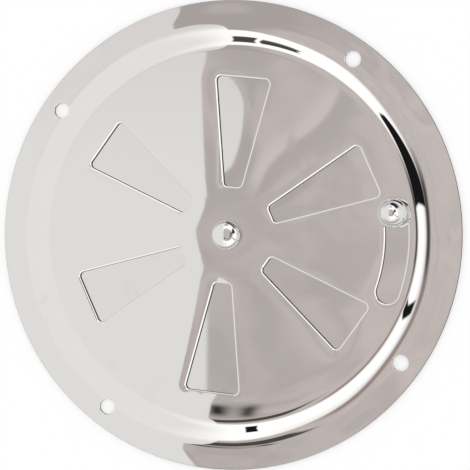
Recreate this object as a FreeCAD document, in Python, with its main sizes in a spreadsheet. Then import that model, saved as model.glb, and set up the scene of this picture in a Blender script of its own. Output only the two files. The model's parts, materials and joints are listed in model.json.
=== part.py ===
# Round butterfly vent cover, 125 mm across, in polished stainless steel.
# The origin is the centre of the flange's back face and +Z points out of the front.
# The screw holes lie on the X and Y axes, and the disc is shown shut.
import FreeCAD
import Part
import Sketcher
import math
import os

V = FreeCAD.Vector
doc = FreeCAD.newDocument("vent_cover")

# Driving sizes, in millimetres and degrees
sizes = doc.addObject("Spreadsheet::Sheet", "Sizes")
SIZES = [
    ("plate_diameter", 125.0, "outside of the flange"),
    ("sheet_thickness", 0.8, "sheet of the face plate"),
    ("flange_width", 5.5, "flat ring outside the step"),
    ("step_height", 1.6, "rise of the panel above the flange"),
    ("shoulder_bend_radius", 6.6, "upper bend of the step, at mid sheet"),
    ("foot_bend_radius", 13.7, "lower bend of the step, at mid sheet"),
    ("rim_bevel", 0.25, "broken front edge of the flange"),
    ("opening_count", 6, "wedge openings round the panel"),
    ("opening_inner_radius", 12.95, "inner edge of each opening"),
    ("opening_half_angle", 10.05, "each side of an opening from its middle line"),
    ("opening_corner_radius", 1.2, "corners of each opening"),
    ("opening_slot_web", 0.55, "sheet between the openings' outer edge and the slot"),
    ("edge_bevel", 0.25, "broken front edge of the punched openings"),
    ("slot_width", 6.1, "width of the curved slot"),
    ("slot_rim_web", 0.53, "sheet between the slot and the step"),
    ("slot_angle", 300.0, "middle of the slot"),
    ("shutter_travel", 26.4, "turn of the disc from open to shut"),
    ("screw_count", 4, "screw holes in the flange"),
    ("screw_hole_diameter", 4.2, "screw holes"),
    ("screw_edge_distance", 5.35, "screw holes from the outside of the flange"),
    ("shutter_thickness", 0.6, "sheet of the disc"),
    ("shutter_gap", 0.05, "play between the panel and the disc"),
    ("shutter_rim_clearance", 0.1, "edge of the disc inside the panel's flat"),
    ("pivot_diameter", 4.0, "shank of the centre rivet"),
    ("pivot_clearance", 0.05, "play round the shank, on the radius"),
    ("rivet_head_diameter", 7.7, "head of the centre rivet"),
    ("rivet_head_height", 3.7, "head of the centre rivet"),
    ("rivet_crown_radius", 6.8, "low crown of the rivet's head"),
    ("rivet_shoulder_radius", 1.7, "rounded edge of the rivet's head"),
    ("rivet_tail_diameter", 6.4, "peened tail of the centre rivet"),
    ("rivet_tail_height", 0.4, "peened tail of the centre rivet"),
    ("spring_diameter", 9.0, "bowed washer"),
    ("spring_thickness", 0.2, "sheet of the bowed washer"),
    ("spring_bow", 0.12, "bow of the washer from middle to end"),
    ("spring_clearance", 0.05, "play between the bowed washer and the disc"),
    ("knob_diameter", 7.7, "ball of the knob"),
    ("knob_lift", 4.6, "middle of the ball above the panel"),
    ("knob_clearance", 0.3, "collar of the knob inside the slot, each side"),
    ("knob_spigot_diameter", 3.2, "shank of the knob in the disc"),
    ("knob_tail_diameter", 5.0, "peened tail of the knob"),
    ("knob_tail_height", 0.5, "peened tail of the knob"),
    ("tail_bevel", 0.2, "bevelled edge of the peened tails"),
]
for row, (name, number, note) in enumerate(SIZES, start=1):
    sizes.set("A%d" % row, name.replace("_", " "))
    sizes.set("B%d" % row, str(number))
    sizes.set("C%d" % row, note)
    sizes.setAlias("B%d" % row, name)
doc.recompute()


def size(name):
    """The number in the sheet under this name."""
    return float(sizes.get(name))


# Places that follow from the sizes, as formulas for the features
BEND_SUM = "(Sizes.shoulder_bend_radius + Sizes.foot_bend_radius)"
STEP_WIDTH = "sqrt(Sizes.step_height * (2 * %s - Sizes.step_height))" % BEND_SUM
PANEL_RADIUS = "(Sizes.plate_diameter / 2 - Sizes.flange_width - %s)" % STEP_WIDTH
PANEL_FACE = "(Sizes.step_height + Sizes.sheet_thickness)"
SLOT_OUTER = "(%s - Sizes.slot_rim_web)" % PANEL_RADIUS
SLOT_INNER = "(%s - Sizes.slot_width)" % SLOT_OUTER
SLOT_RADIUS = "(%s - Sizes.slot_width / 2)" % SLOT_OUTER
OPENING_OUTER = "(%s - Sizes.opening_slot_web)" % SLOT_INNER
PIVOT_HOLE = "(Sizes.pivot_diameter / 2 + Sizes.pivot_clearance)"
SHUTTER_FACE = "(Sizes.step_height - Sizes.shutter_gap)"
SHUTTER_BACK = "(%s - Sizes.shutter_thickness)" % SHUTTER_FACE
SPRING_BASE = "(%s - Sizes.spring_clearance - Sizes.spring_thickness - Sizes.spring_bow)" % SHUTTER_BACK
COLLAR_RADIUS = "(Sizes.slot_width / 2 - Sizes.knob_clearance)"

# The same places as numbers, for the first drawing of each sketch
bend_sum = size("shoulder_bend_radius") + size("foot_bend_radius")
step_turn = math.acos(1 - size("step_height") / bend_sum)
foot_radius = size("plate_diameter") / 2 - size("flange_width")
panel_radius = foot_radius - bend_sum * math.sin(step_turn)
panel_face = size("step_height") + size("sheet_thickness")
slot_outer = panel_radius - size("slot_rim_web")
slot_inner = slot_outer - size("slot_width")
slot_radius = slot_outer - size("slot_width") / 2
opening_outer = slot_inner - size("opening_slot_web")
shutter_radius = panel_radius - size("shutter_rim_clearance")
pivot_hole = size("pivot_diameter") / 2 + size("pivot_clearance")
spring_height = size("spring_thickness") + size("spring_bow")


# Helpers for bodies and sketches
def new_body(label):
    """A body whose label names its file."""
    body = doc.addObject("PartDesign::Body", label)
    body.Label = label
    return body


def new_sketch(body, name, role):
    """A sketch on one of the body's own origin planes."""
    plane = [f for f in body.Origin.OriginFeatures if f.Role == role][0]
    sketch = body.newObject("Sketcher::SketchObject", name)
    sketch.AttachmentSupport = [(plane, "")]
    sketch.MapMode = "FlatFace"
    return sketch


def dimension(sketch, name, formula, *constraint):
    """A named size in a sketch, driven by a formula."""
    index = sketch.addConstraint(Sketcher.Constraint(*constraint))
    sketch.renameConstraint(index, name)
    sketch.setExpression("Constraints." + name, formula)


def relate(sketch, relations):
    """Relations without a size, such as Coincident and Tangent."""
    for relation in relations:
        sketch.addConstraint(Sketcher.Constraint(*relation))


def line(sketch, first, second):
    """A straight line between two points of the sketch."""
    return sketch.addGeometry(Part.LineSegment(V(first[0], first[1], 0), V(second[0], second[1], 0)), False)


def arc(sketch, centre, radius, start, end):
    """An arc that runs anticlockwise between two angles in degrees."""
    circle = Part.Circle(V(centre[0], centre[1], 0), V(0, 0, 1), radius)
    return sketch.addGeometry(Part.ArcOfCircle(circle, math.radians(start), math.radians(end)), False)


def circle(sketch, centre, radius):
    """A full circle."""
    return sketch.addGeometry(Part.Circle(V(centre[0], centre[1], 0), V(0, 0, 1), radius), False)


# Names for the points and axes that every sketch has
START, END, CENTRE = range(1, 4)
X_AXIS, Y_AXIS = range(-1, -3, -1)
ORIGIN = X_AXIS


def revolve(body, sketch, name):
    """A full turn of the sketch about its upright axis."""
    turned = body.newObject("PartDesign::Revolution", name)
    turned.Profile = sketch
    turned.ReferenceAxis = (sketch, ["V_Axis"])
    turned.Angle = 360
    body.Tip = turned
    doc.recompute()
    return turned


def cut_through(body, sketch, name):
    """A pocket upwards through the whole body, which must take material away."""
    before = body.Shape.Volume
    cut = body.newObject("PartDesign::Pocket", name)
    cut.Profile = sketch
    cut.Type = "ThroughAll"
    cut.Reversed = True
    body.Tip = cut
    doc.recompute()
    if body.Shape.Volume >= before:
        raise RuntimeError(name + " cut nothing")
    return cut


def repeat_round(body, sketch, cut, name, count):
    """Copies of a pocket round the Z axis."""
    ring = body.newObject("PartDesign::PolarPattern", name)
    ring.Originals = [cut]
    ring.Axis = (sketch, ["N_Axis"])
    ring.Angle = 360
    ring.setExpression("Occurrences", count)
    body.Tip = ring
    doc.recompute()
    return ring


def break_edges(body, name, bevel, chosen):
    """Bevel on the edges that the test chooses."""
    base = body.Tip
    edges = []
    for number, edge in enumerate(base.Shape.Edges, start=1):
        if chosen(edge):
            edges.append("Edge%d" % number)
    broken = body.newObject("PartDesign::Chamfer", name)
    broken.Base = (base, edges)
    broken.setExpression("Size", bevel)
    body.Tip = broken
    doc.recompute()
    return broken


# Drawings shared by the face plate and the disc
def draw_opening(body, name):
    """One wedge opening on the Y axis, with radial sides and round corners."""
    sketch = new_sketch(body, name, "XY_Plane")
    half = math.radians(size("opening_half_angle"))
    corner = size("opening_corner_radius")
    inner = size("opening_inner_radius")
    outer = opening_outer
    lean = size("opening_half_angle")
    # Each corner circle touches a radial side and one of the level edges
    out_x = (outer - corner) * math.tan(half) - corner / math.cos(half)
    in_x = (inner + corner) * math.tan(half) - corner / math.cos(half)
    out_c = (out_x, outer - corner)
    in_c = (in_x, inner + corner)
    foot = V(math.cos(half), -math.sin(half), 0) * corner

    def side(centre, sign):
        return (sign * (centre[0] + foot.x), centre[1] + foot.y)

    top = line(sketch, (-out_x, outer), (out_x, outer))
    right = line(sketch, side(out_c, 1), side(in_c, 1))
    bottom = line(sketch, (in_x, inner), (-in_x, inner))
    left = line(sketch, side(in_c, -1), side(out_c, -1))
    top_right = arc(sketch, out_c, corner, -lean, 90)
    low_right = arc(sketch, in_c, corner, 270, 360 - lean)
    low_left = arc(sketch, (-in_x, inner + corner), corner, 180 + lean, 270)
    top_left = arc(sketch, (-out_x, outer - corner), corner, 90, 180 + lean)
    relate(sketch, [
        ("Tangent", top, END, top_right, END),
        ("Tangent", top_right, START, right, START),
        ("Tangent", right, END, low_right, END),
        ("Tangent", low_right, START, bottom, START),
        ("Tangent", bottom, END, low_left, END),
        ("Tangent", low_left, START, left, START),
        ("Tangent", left, END, top_left, END),
        ("Tangent", top_left, START, top, START),
        ("Horizontal", top),
        ("Horizontal", bottom),
        ("PointOnObject", ORIGIN, START, right),
        ("PointOnObject", ORIGIN, START, left),
        ("Equal", top_right, low_right),
        ("Equal", top_right, low_left),
        ("Equal", top_right, top_left),
    ])
    dimension(sketch, "corner", "Sizes.opening_corner_radius", "Radius", top_right, corner)
    dimension(sketch, "outer_edge", OPENING_OUTER, "DistanceY", ORIGIN, START, top, START, outer)
    dimension(sketch, "inner_edge", "Sizes.opening_inner_radius", "DistanceY", ORIGIN, START, bottom, START,
              inner)
    dimension(sketch, "right_lean", "90 - Sizes.opening_half_angle", "Angle", X_AXIS, START, right, END,
              math.pi / 2 - half)
    dimension(sketch, "left_lean", "90 + Sizes.opening_half_angle", "Angle", X_AXIS, START, left, START,
              math.pi / 2 + half)
    return sketch


def draw_circle(body, name, place, radius, place_formula, radius_formula):
    """A round hole on the X axis, or at the origin where no place is given."""
    sketch = new_sketch(body, name, "XY_Plane")
    ring = circle(sketch, (place, 0), radius)
    if place_formula:
        relate(sketch, [("PointOnObject", ring, CENTRE, X_AXIS)])
        dimension(sketch, "place", place_formula, "DistanceX", ORIGIN, START, ring, CENTRE, place)
    else:
        relate(sketch, [("Coincident", ring, CENTRE, ORIGIN, START)])
    dimension(sketch, "radius", radius_formula, "Radius", ring, radius)
    return sketch


# Face plate: the section of the pressing, turned about Z
def draw_section(body):
    """Half section of the plate: flat panel, two tangent bends and flat flange, all of one thickness."""
    sketch = new_sketch(body, "Section", "XZ_Plane")
    sheet = size("sheet_thickness")
    rise = size("step_height")
    rim = size("plate_diameter") / 2
    turn = math.degrees(step_turn)
    upper_out = size("shoulder_bend_radius") + sheet / 2
    upper_in = size("shoulder_bend_radius") - sheet / 2
    lower_in = size("foot_bend_radius") - sheet / 2
    lower_out = size("foot_bend_radius") + sheet / 2
    panel_top = line(sketch, (0, panel_face), (panel_radius, panel_face))
    shoulder = arc(sketch, (panel_radius, panel_face - upper_out), upper_out, 90 - turn, 90)
    foot = arc(sketch, (foot_radius, sheet + lower_in), lower_in, 270 - turn, 270)
    flange_top = line(sketch, (foot_radius, sheet), (rim, sheet))
    rim_edge = line(sketch, (rim, sheet), (rim, 0))
    flange_back = line(sketch, (rim, 0), (foot_radius, 0))
    foot_back = arc(sketch, (foot_radius, lower_out), lower_out, 270 - turn, 270)
    shoulder_back = arc(sketch, (panel_radius, rise - upper_in), upper_in, 90 - turn, 90)
    panel_back = line(sketch, (panel_radius, rise), (0, rise))
    middle = line(sketch, (0, rise), (0, panel_face))
    relate(sketch, [
        ("Tangent", panel_top, END, shoulder, END),
        ("Tangent", shoulder, START, foot, START),
        ("Tangent", foot, END, flange_top, START),
        ("Coincident", flange_top, END, rim_edge, START),
        ("Coincident", rim_edge, END, flange_back, START),
        ("Tangent", flange_back, END, foot_back, END),
        ("Tangent", foot_back, START, shoulder_back, START),
        ("Tangent", shoulder_back, END, panel_back, START),
        ("Coincident", panel_back, END, middle, START),
        ("Coincident", middle, END, panel_top, START),
        ("Horizontal", panel_top),
        ("Horizontal", flange_top),
        ("Horizontal", flange_back),
        ("Horizontal", panel_back),
        ("Vertical", rim_edge),
        ("PointOnObject", middle, START, Y_AXIS),
        ("PointOnObject", middle, END, Y_AXIS),
        ("PointOnObject", flange_back, START, X_AXIS),
        ("Vertical", foot, END, foot_back, END),
    ])
    dimension(sketch, "rim", "Sizes.plate_diameter / 2", "DistanceX", ORIGIN, START, rim_edge, END, rim)
    dimension(sketch, "flange_sheet", "Sizes.sheet_thickness", "DistanceY", rim_edge, END, rim_edge, START,
              sheet)
    dimension(sketch, "panel_sheet", "Sizes.sheet_thickness", "DistanceY", middle, START, middle, END,
              sheet)
    dimension(sketch, "rise", "Sizes.step_height", "DistanceY", ORIGIN, START, middle, START, rise)
    dimension(sketch, "flange", "Sizes.flange_width", "DistanceX", flange_top, START, flange_top, END,
              size("flange_width"))
    half_sheet = " Sizes.sheet_thickness / 2"
    dimension(sketch, "shoulder", "Sizes.shoulder_bend_radius +" + half_sheet, "Radius", shoulder, upper_out)
    dimension(sketch, "foot", "Sizes.foot_bend_radius -" + half_sheet, "Radius", foot, lower_in)
    dimension(sketch, "foot_back", "Sizes.foot_bend_radius +" + half_sheet, "Radius", foot_back, lower_out)
    dimension(sketch, "shoulder_back", "Sizes.shoulder_bend_radius -" + half_sheet, "Radius", shoulder_back,
              upper_in)
    return sketch


def draw_slot(body):
    """Curved slot for the knob, in line with the X axis of a sketch turned to the slot's angle."""
    sketch = new_sketch(body, "Slot", "XY_Plane")
    sketch.AttachmentOffset = FreeCAD.Placement(V(0, 0, 0), FreeCAD.Rotation(V(0, 0, 1), size("slot_angle")))
    sketch.setExpression("AttachmentOffset.Rotation.Angle", "Sizes.slot_angle")
    reach = size("shutter_travel") / 2
    half = size("slot_width") / 2
    spread = math.radians(reach)
    head = (slot_radius * math.cos(spread), slot_radius * math.sin(spread))
    tail = (head[0], -head[1])
    outer = arc(sketch, (0, 0), slot_outer, -reach, reach)
    upper = arc(sketch, head, half, reach, reach + 180)
    inner = arc(sketch, (0, 0), slot_inner, -reach, reach)
    lower = arc(sketch, tail, half, 180 - reach, 360 - reach)
    to_head = line(sketch, (0, 0), head)
    to_tail = line(sketch, (0, 0), tail)
    sketch.setConstruction(to_head, True)
    sketch.setConstruction(to_tail, True)
    relate(sketch, [
        ("Coincident", outer, CENTRE, ORIGIN, START),
        ("Coincident", inner, CENTRE, ORIGIN, START),
        ("Tangent", outer, END, upper, START),
        ("Tangent", upper, END, inner, END),
        ("Tangent", inner, START, lower, START),
        ("Tangent", lower, END, outer, START),
        ("Coincident", to_head, START, ORIGIN, START),
        ("Coincident", to_tail, START, ORIGIN, START),
        ("Coincident", to_head, END, upper, CENTRE),
        ("Coincident", to_tail, END, lower, CENTRE),
    ])
    dimension(sketch, "outer", SLOT_OUTER, "Radius", outer, slot_outer)
    dimension(sketch, "inner", SLOT_INNER, "Radius", inner, slot_inner)
    dimension(sketch, "head", "Sizes.shutter_travel / 2", "Angle", X_AXIS, START, to_head, START, spread)
    dimension(sketch, "tail", "Sizes.shutter_travel / 2", "Angle", to_tail, START, X_AXIS, START, spread)
    return sketch


plate = new_body("face_plate")
revolve(plate, draw_section(plate), "Pressing")
opening = draw_opening(plate, "Opening")
opening_cut = cut_through(plate, opening, "OpeningCut")
repeat_round(plate, opening, opening_cut, "Openings", "Sizes.opening_count")
cut_through(plate, draw_slot(plate), "SlotCut")
screw_radius = size("plate_diameter") / 2 - size("screw_edge_distance")
screw = draw_circle(plate, "ScrewHole", screw_radius, size("screw_hole_diameter") / 2,
                    "Sizes.plate_diameter / 2 - Sizes.screw_edge_distance", "Sizes.screw_hole_diameter / 2")
screw_cut = cut_through(plate, screw, "ScrewHoleCut")
repeat_round(plate, screw, screw_cut, "ScrewHoles", "Sizes.screw_count")
cut_through(plate, draw_circle(plate, "PivotHole", 0, pivot_hole, "", PIVOT_HOLE), "PivotHoleCut")


def on_level(edge, level):
    """Whether a whole edge lies on one level."""
    box = edge.BoundBox
    return abs(box.ZMin - level) < 1e-4 and abs(box.ZMax - level) < 1e-4


def reach_of(edge):
    """Nearest and farthest distance of an edge from the Z axis."""
    points = edge.discretize(9)
    far = [math.hypot(p.x, p.y) for p in points]
    return min(far), max(far)


def punched_edge(edge):
    """The front edges of the openings and the slot."""
    if not on_level(edge, panel_face):
        return False
    near, far = reach_of(edge)
    return near > pivot_hole * 1.01 and far < panel_radius - 0.01


def rim_edge(edge):
    """The front edge of the flange."""
    near, far = reach_of(edge)
    return on_level(edge, size("sheet_thickness")) and near > size("plate_diameter") / 2 - 0.01


break_edges(plate, "PunchedEdges", "Sizes.edge_bevel", punched_edge)
break_edges(plate, "RimEdge", "Sizes.rim_bevel", rim_edge)

# Shutter disc: drawn as it lies when open, then turned shut by its placement
shutter = new_body("shutter_disc")
blank = draw_circle(shutter, "Blank", 0, shutter_radius, "", PANEL_RADIUS + " - Sizes.shutter_rim_clearance")
disc = shutter.newObject("PartDesign::Pad", "Disc")
disc.Profile = blank
disc.setExpression("Length", "Sizes.shutter_thickness")
shutter.Tip = disc
doc.recompute()
vane = draw_opening(shutter, "DiscOpening")
vane_cut = cut_through(shutter, vane, "DiscOpeningCut")
repeat_round(shutter, vane, vane_cut, "DiscOpenings", "Sizes.opening_count")
cut_through(shutter, draw_circle(shutter, "DiscPivot", 0, pivot_hole, "", PIVOT_HOLE), "DiscPivotCut")
spigot = draw_circle(shutter, "SpigotHole", slot_radius, size("knob_spigot_diameter") / 2, SLOT_RADIUS,
                     "Sizes.knob_spigot_diameter / 2")
OPEN_ANGLE = "(Sizes.slot_angle - Sizes.shutter_travel / 2)"
SHUT_ANGLE = "(Sizes.slot_angle + Sizes.shutter_travel / 2)"
open_angle = size("slot_angle") - size("shutter_travel") / 2
spigot.AttachmentOffset = FreeCAD.Placement(V(0, 0, 0), FreeCAD.Rotation(V(0, 0, 1), open_angle))
spigot.setExpression("AttachmentOffset.Rotation.Angle", OPEN_ANGLE)
cut_through(shutter, spigot, "SpigotHoleCut")
shutter.Placement = FreeCAD.Placement(V(0, 0, 0), FreeCAD.Rotation(V(0, 0, 1), size("shutter_travel")))
shutter.setExpression("Placement.Rotation.Angle", "Sizes.shutter_travel")
shutter.setExpression("Placement.Base.z", SHUTTER_BACK)


# Turned pieces: each is a half section turned about its own axis
def draw_ball(sketch, middle, radius, neck, formulas):
    """A ball on a straight collar. Gives the arc that meets the axis and the line that meets the seat."""
    low_side = middle - math.sqrt(radius * radius - neck * neck)
    ball = arc(sketch, (0, middle), radius, math.degrees(math.atan2(low_side - middle, neck)), 90)
    collar = line(sketch, (neck, low_side), (neck, 0))
    relate(sketch, [
        ("PointOnObject", ball, CENTRE, Y_AXIS),
        ("Coincident", ball, START, collar, START),
        ("Vertical", collar),
    ])
    dimension(sketch, "head_middle", formulas["middle"], "DistanceY", ORIGIN, START, ball, CENTRE, middle)
    dimension(sketch, "head_radius", formulas["radius"], "Radius", ball, radius)
    return ball, collar


def draw_crown(sketch, rise, crown_radius, shoulder_radius, neck, formulas):
    """A low crown, a rounded shoulder and a straight side, all tangent. Gives the crown and the side."""
    reach = neck - shoulder_radius
    middle = rise - crown_radius
    level = middle + math.sqrt((crown_radius - shoulder_radius) ** 2 - reach ** 2)
    lean = math.degrees(math.atan2(level - middle, reach))
    crown = arc(sketch, (0, middle), crown_radius, lean, 90)
    shoulder = arc(sketch, (reach, level), shoulder_radius, 0, lean)
    side = line(sketch, (neck, level), (neck, 0))
    relate(sketch, [
        ("PointOnObject", crown, CENTRE, Y_AXIS),
        ("Tangent", crown, START, shoulder, END),
        ("Tangent", shoulder, START, side, START),
        ("Vertical", side),
    ])
    dimension(sketch, "head_top", formulas["top"], "DistanceY", ORIGIN, START, crown, END, rise)
    dimension(sketch, "crown", formulas["crown"], "Radius", crown, crown_radius)
    dimension(sketch, "shoulder", formulas["shoulder"], "Radius", shoulder, shoulder_radius)
    return crown, side


def draw_turned(sketch, head, neck, shank, shank_length, tail, tail_height, formulas):
    """The rest of a turned piece: level seat at height 0, straight shank below it and flat peened tail."""
    crown, wall = head
    bevel = size("tail_bevel")
    bottom = -shank_length - tail_height
    seat = line(sketch, (neck, 0), (shank, 0))
    stem = line(sketch, (shank, 0), (shank, -shank_length))
    ledge = line(sketch, (shank, -shank_length), (tail, -shank_length))
    side = line(sketch, (tail, -shank_length), (tail, bottom + bevel))
    slope = line(sketch, (tail, bottom + bevel), (tail - bevel, bottom))
    base = line(sketch, (tail - bevel, bottom), (0, bottom))
    axis = line(sketch, (0, bottom), (0, neck))
    relate(sketch, [
        ("Coincident", crown, END, axis, END),
        ("Coincident", wall, END, seat, START),
        ("Coincident", seat, END, stem, START),
        ("Coincident", stem, END, ledge, START),
        ("Coincident", ledge, END, side, START),
        ("Coincident", side, END, slope, START),
        ("Coincident", slope, END, base, START),
        ("Coincident", base, END, axis, START),
        ("PointOnObject", axis, START, Y_AXIS),
        ("PointOnObject", axis, END, Y_AXIS),
        ("PointOnObject", seat, START, X_AXIS),
        ("Horizontal", seat),
        ("Vertical", stem),
        ("Horizontal", ledge),
        ("Vertical", side),
        ("Horizontal", base),
    ])
    dimension(sketch, "neck", formulas["neck"], "DistanceX", ORIGIN, START, seat, START, neck)
    dimension(sketch, "shank", formulas["shank"], "DistanceX", ORIGIN, START, stem, START, shank)
    dimension(sketch, "grip", formulas["grip"], "DistanceY", stem, END, stem, START, shank_length)
    dimension(sketch, "tail", formulas["tail"], "DistanceX", ORIGIN, START, ledge, END, tail)
    dimension(sketch, "tail_height", formulas["tail_height"], "DistanceY", axis, START, ledge, END,
              tail_height)
    dimension(sketch, "bevel_out", "Sizes.tail_bevel", "DistanceX", slope, END, slope, START, bevel)
    dimension(sketch, "bevel_up", "Sizes.tail_bevel", "DistanceY", slope, END, slope, START, bevel)


# Centre rivet, seated on the front of the panel
rivet = new_body("centre_rivet")
rivet_reach = size("rivet_head_diameter") / 2
rivet_grip = (size("sheet_thickness") + size("shutter_gap") + size("shutter_thickness")
              + size("spring_clearance") + spring_height)
rivet_section = new_sketch(rivet, "RivetSection", "XZ_Plane")
rivet_head = draw_crown(
    rivet_section, size("rivet_head_height"), size("rivet_crown_radius"), size("rivet_shoulder_radius"),
    rivet_reach,
    {"top": "Sizes.rivet_head_height", "crown": "Sizes.rivet_crown_radius",
     "shoulder": "Sizes.rivet_shoulder_radius"})
draw_turned(
    rivet_section, rivet_head, rivet_reach, size("pivot_diameter") / 2, rivet_grip,
    size("rivet_tail_diameter") / 2, size("rivet_tail_height"),
    {"neck": "Sizes.rivet_head_diameter / 2", "shank": "Sizes.pivot_diameter / 2",
     "grip": "%s - %s" % (PANEL_FACE, SPRING_BASE), "tail": "Sizes.rivet_tail_diameter / 2",
     "tail_height": "Sizes.rivet_tail_height"})
revolve(rivet, rivet_section, "Rivet")
rivet.setExpression("Placement.Base.z", PANEL_FACE)

# Knob, with its collar standing on the disc and its tail peened behind it
knob = new_body("shutter_knob")
knob_middle = size("sheet_thickness") + size("shutter_gap") + size("knob_lift")
collar_radius = size("slot_width") / 2 - size("knob_clearance")
knob_section = new_sketch(knob, "KnobSection", "XZ_Plane")
knob_head = draw_ball(
    knob_section, knob_middle, size("knob_diameter") / 2, collar_radius,
    {"middle": "Sizes.sheet_thickness + Sizes.shutter_gap + Sizes.knob_lift",
     "radius": "Sizes.knob_diameter / 2"})
draw_turned(
    knob_section, knob_head, collar_radius, size("knob_spigot_diameter") / 2, size("shutter_thickness"),
    size("knob_tail_diameter") / 2, size("knob_tail_height"),
    {"neck": COLLAR_RADIUS, "shank": "Sizes.knob_spigot_diameter / 2", "grip": "Sizes.shutter_thickness",
     "tail": "Sizes.knob_tail_diameter / 2", "tail_height": "Sizes.knob_tail_height"})
revolve(knob, knob_section, "Knob")
knob.setExpression("Placement.Base.x", "%s * cos(%s)" % (SLOT_RADIUS, SHUT_ANGLE))
knob.setExpression("Placement.Base.y", "%s * sin(%s)" % (SLOT_RADIUS, SHUT_ANGLE))
knob.setExpression("Placement.Base.z", SHUTTER_FACE)

# Bowed washer: a ring cut from a shallow curved sheet
# Its middle rests on the rivet's tail and its ends reach up to the disc
def cylinder(name, radius, height):
    """A cylinder on the Z axis, its sizes driven by formulas."""
    solid = doc.addObject("Part::Cylinder", name)
    solid.setExpression("Radius", radius)
    solid.setExpression("Height", height)
    return solid


def combine(kind, name, first, second):
    """A boolean of two solids."""
    both = doc.addObject(kind, name)
    both.Base = first
    both.Tool = second
    return both


SPRING_HEIGHT = "(Sizes.spring_thickness + Sizes.spring_bow)"
BOW_INNER = "((Sizes.spring_diameter * Sizes.spring_diameter / 4 + Sizes.spring_bow * Sizes.spring_bow)" \
            " / (2 * Sizes.spring_bow))"
BOW_OUTER = "(%s + Sizes.spring_thickness)" % BOW_INNER
sheet_parts = []
for name, radius in (("BowOutside", BOW_OUTER), ("BowInside", BOW_INNER)):
    roll = cylinder(name, radius, "2 * Sizes.spring_diameter")
    roll.Placement = FreeCAD.Placement(V(0, 0, 0), FreeCAD.Rotation(V(1, 0, 0), 90))
    roll.setExpression("Placement.Base.y", "Sizes.spring_diameter")
    roll.setExpression("Placement.Base.z", BOW_OUTER)
    sheet_parts.append(roll)
bow_sheet = combine("Part::Cut", "BowSheet", sheet_parts[0], sheet_parts[1])
ring_parts = []
for name, radius in (("RingOutside", "Sizes.spring_diameter / 2"), ("RingInside", PIVOT_HOLE)):
    post = cylinder(name, radius, "3 * " + SPRING_HEIGHT)
    post.setExpression("Placement.Base.z", "-" + SPRING_HEIGHT)
    ring_parts.append(post)
bow_ring = combine("Part::Cut", "BowRing", ring_parts[0], ring_parts[1])
spring = doc.addObject("Part::MultiCommon", "bowed_washer")
spring.Shapes = [bow_sheet, bow_ring]
spring.Label = "bowed_washer"
spring.setExpression("Placement.Base.z", SPRING_BASE)
doc.recompute()

# Every feature must be sound before the pieces are written
for thing in doc.Objects:
    if "Invalid" in thing.State or "Error" in thing.State:
        raise RuntimeError("%s is not sound: %s" % (thing.Name, thing.State))
os.makedirs("parts", exist_ok=True)
for piece in (plate, shutter, rivet, knob, spring):
    shape = piece.Shape
    if shape.isNull() or not shape.isValid() or len(shape.Solids) != 1:
        raise RuntimeError(piece.Label + " is not one sound solid")
    shape.exportStep("parts/%s.step" % piece.Label)
    box = shape.optimalBoundingBox()
    print("%-14s %8.1f mm3  z %.2f to %.2f" % (piece.Label, shape.Volume, box.ZMin, box.ZMax))
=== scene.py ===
# %% [markdown]
# # A polished butterfly vent cover
# The cover is a round stainless pressing, 125 mm across, with six wedge windows. A thin disc with
# the same windows turns behind it on a rivet, and a small ball knob in a curved slot moves the disc.
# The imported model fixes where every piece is. This lesson gives each piece a surface fine enough for
# mirror polish, because a mirror shows every facet and every wave of the metal under it.

# %% Load the frame
import json
import math
import bmesh
import bpy
import numpy as np
from mathutils import Matrix, Vector


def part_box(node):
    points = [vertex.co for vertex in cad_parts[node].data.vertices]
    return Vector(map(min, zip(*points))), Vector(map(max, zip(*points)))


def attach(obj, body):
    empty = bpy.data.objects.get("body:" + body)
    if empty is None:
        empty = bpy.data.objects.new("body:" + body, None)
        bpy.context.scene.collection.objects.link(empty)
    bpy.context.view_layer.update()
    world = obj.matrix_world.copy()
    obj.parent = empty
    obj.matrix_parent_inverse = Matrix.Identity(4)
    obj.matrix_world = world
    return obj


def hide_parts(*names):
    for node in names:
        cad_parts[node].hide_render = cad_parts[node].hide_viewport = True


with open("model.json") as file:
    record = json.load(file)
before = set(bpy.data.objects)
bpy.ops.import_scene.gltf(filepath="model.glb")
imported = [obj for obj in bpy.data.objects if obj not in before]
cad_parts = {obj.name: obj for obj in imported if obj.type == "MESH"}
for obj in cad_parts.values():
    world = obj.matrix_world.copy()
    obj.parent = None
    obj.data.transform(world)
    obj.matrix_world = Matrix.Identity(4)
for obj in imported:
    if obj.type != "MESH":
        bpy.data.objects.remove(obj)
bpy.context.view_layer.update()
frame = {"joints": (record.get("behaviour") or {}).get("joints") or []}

# %% [markdown]
# ## Sizes
# Blender works in metres, and a sheet metal drawing works in millimetres. The lesson keeps the
# drawing's millimetres and turns them into metres once, when a mesh is made. Outer sizes are read
# from the frame, so a new model moves the looks with it. The rest are the pressing's own sizes.

# %% Sizes of the pressing
MM = 0.001
plate_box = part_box("face_plate")
SHEET = 0.8
RIM_RADIUS = min(-plate_box[0].x, plate_box[1].x, -plate_box[0].y, plate_box[1].y) / MM
PANEL_FACE = plate_box[1].z / MM
PANEL_BACK = PANEL_FACE - SHEET
FLANGE_WIDTH = 5.5
SHOULDER_BEND = 7.0
FOOT_BEND = 13.3
FOOT_RADIUS = RIM_RADIUS - FLANGE_WIDTH
STEP_TURN = math.acos(1 - PANEL_BACK / (SHOULDER_BEND + FOOT_BEND))
PANEL_RADIUS = FOOT_RADIUS - (SHOULDER_BEND + FOOT_BEND) * math.sin(STEP_TURN)
print("panel flat to %.2f mm, step turns %.1f degrees" % (PANEL_RADIUS, math.degrees(STEP_TURN)))

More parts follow.
